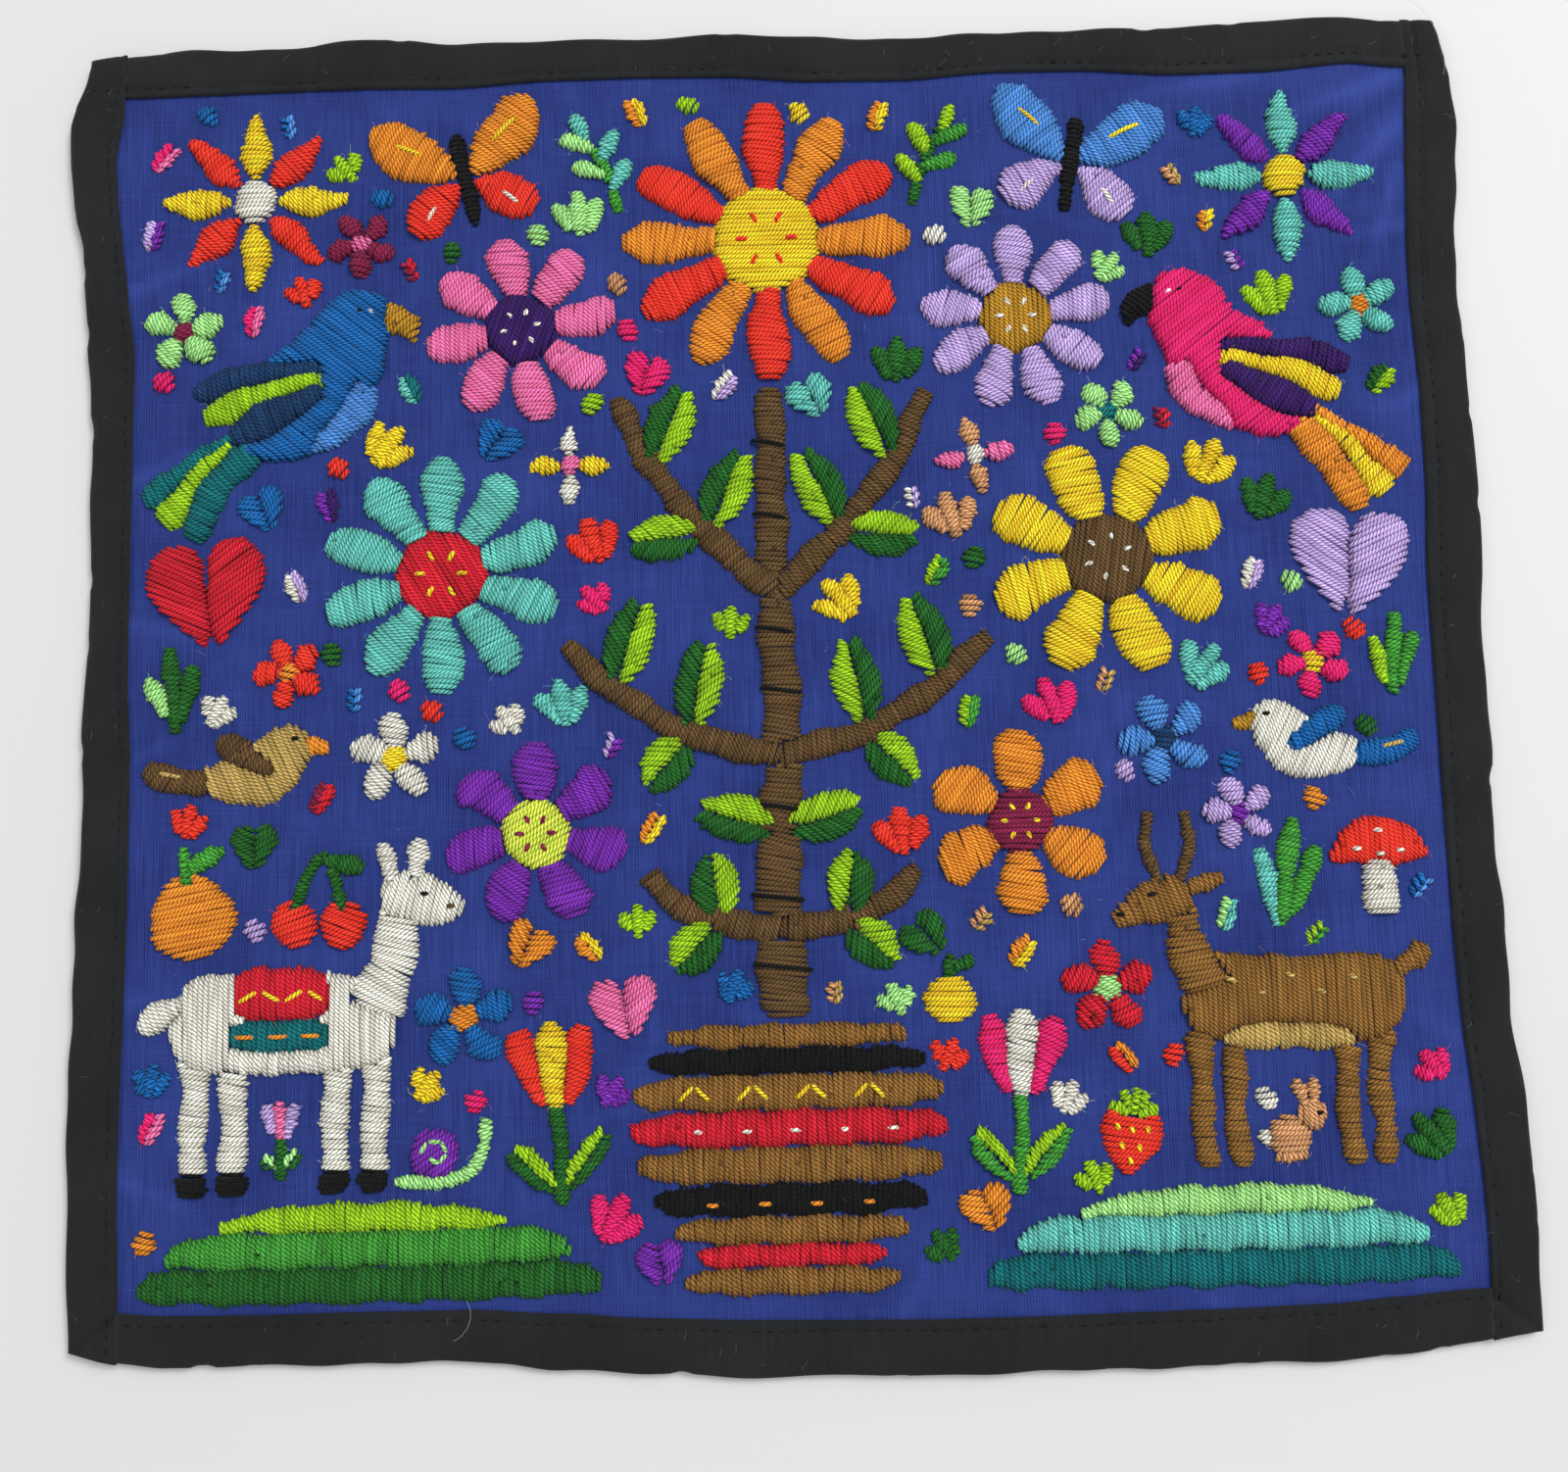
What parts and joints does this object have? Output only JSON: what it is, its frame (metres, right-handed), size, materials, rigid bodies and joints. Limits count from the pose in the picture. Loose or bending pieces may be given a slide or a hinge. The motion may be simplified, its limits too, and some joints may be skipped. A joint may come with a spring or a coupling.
{
  "type": "arpillera textile",
  "caption": "Square embroidered wall cloth: blue cotton ground, raised wool satin-stitch motifs of plants and animals, and a folded black cotton binding.",
  "frame": {"origin": "middle of the cloth's underside as it lies flat, the bottom centre of its bounding box", "axes": "+X to the right of the picture, along the longer side; +Y to the top of the picture; +Z out of the front, through the thickness"},
  "size_m": [0.4209, 0.3985, 0.0049],
  "materials": {
    "cotton_black": "plain woven cotton, matt",
    "cotton_blue": "plain woven cotton, matt",
    "yarn_crimson": "satin-stitched wool yarn, soft and matt",
    "yarn_dark_brown": "satin-stitched wool yarn, soft and matt",
    "yarn_dark_green": "satin-stitched wool yarn, soft and matt",
    "yarn_golden_brown": "satin-stitched wool yarn, soft and matt",
    "yarn_grass_green": "satin-stitched wool yarn, soft and matt",
    "yarn_hot_pink": "satin-stitched wool yarn, soft and matt",
    "yarn_lake_blue": "satin-stitched wool yarn, soft and matt",
    "yarn_lilac": "satin-stitched wool yarn, soft and matt",
    "yarn_orange": "satin-stitched wool yarn, soft and matt",
    "yarn_pale_green": "satin-stitched wool yarn, soft and matt",
    "yarn_peach": "satin-stitched wool yarn, soft and matt",
    "yarn_pink": "satin-stitched wool yarn, soft and matt",
    "yarn_red": "satin-stitched wool yarn, soft and matt",
    "yarn_sky_blue": "satin-stitched wool yarn, soft and matt",
    "yarn_tan": "satin-stitched wool yarn, soft and matt",
    "yarn_teal": "satin-stitched wool yarn, soft and matt",
    "yarn_turquoise": "satin-stitched wool yarn, soft and matt",
    "yarn_violet": "satin-stitched wool yarn, soft and matt",
    "yarn_white": "satin-stitched wool yarn, soft and matt",
    "yarn_wine": "satin-stitched wool yarn, soft and matt",
    "yarn_yellow": "satin-stitched wool yarn, soft and matt"
  },
  "bodies": {
    "root": {"ground_cloth": "cotton_blue", "binding_top": "cotton_black", "binding_bottom": "cotton_black", "binding_left": "cotton_black", "binding_right": "cotton_black", "tree": "yarn_dark_brown", "pot": "yarn_golden_brown", "flower_top": "yarn_red", "flower_upper_left": "yarn_pink", "flower_upper_right": "yarn_lilac", "flower_mid_left": "yarn_turquoise", "flower_mid_right": "yarn_yellow", "flower_low_left": "yarn_violet", "flower_low_right": "yarn_orange", "parrot_left": "yarn_lake_blue", "parrot_right": "yarn_hot_pink", "star_left": "yarn_yellow", "star_right": "yarn_turquoise", "butterfly_left": "yarn_orange", "butterfly_right": "yarn_sky_blue", "llama": "yarn_white", "deer": "yarn_golden_brown", "hill_left": "yarn_dark_green", "hill_right": "yarn_teal", "tulip_left": "yarn_red", "tulip_right": "yarn_hot_pink", "tulip_small": "yarn_lilac", "heart_left": "yarn_crimson", "heart_right": "yarn_lilac", "small_bird_left": "yarn_tan", "small_bird_right": "yarn_white", "daisy_left": "yarn_white", "daisy_right": "yarn_sky_blue", "daisy_corner_left": "yarn_pale_green", "daisy_corner_right": "yarn_turquoise", "sprig_left": "yarn_grass_green", "sprig_right": "yarn_dark_green", "fruit_left": "yarn_orange", "mushroom_right": "yarn_red", "cherry_left": "yarn_red", "leafy_right": "yarn_grass_green", "rabbit_right": "yarn_peach", "snail_left": "yarn_violet", "strawberry_right": "yarn_red", "heart_low_left": "yarn_pink", "fruit_low_right": "yarn_yellow", "leafy_left": "yarn_dark_green", "leafy_upper_right": "yarn_grass_green", "daisy_low_left": "yarn_lake_blue", "daisy_low_right": "yarn_crimson", "star_low_left": "yarn_white", "star_low_right": "yarn_peach", "daisy_beside_leafy": "yarn_lilac", "daisy_right_mid": "yarn_hot_pink", "daisy_upper_right": "yarn_pale_green", "daisy_left_mid": "yarn_red", "daisy_upper_left": "yarn_wine", "tuft_mid_left": "yarn_turquoise", "tuft_mid_right": "yarn_peach"}
  },
  "joints": []
}
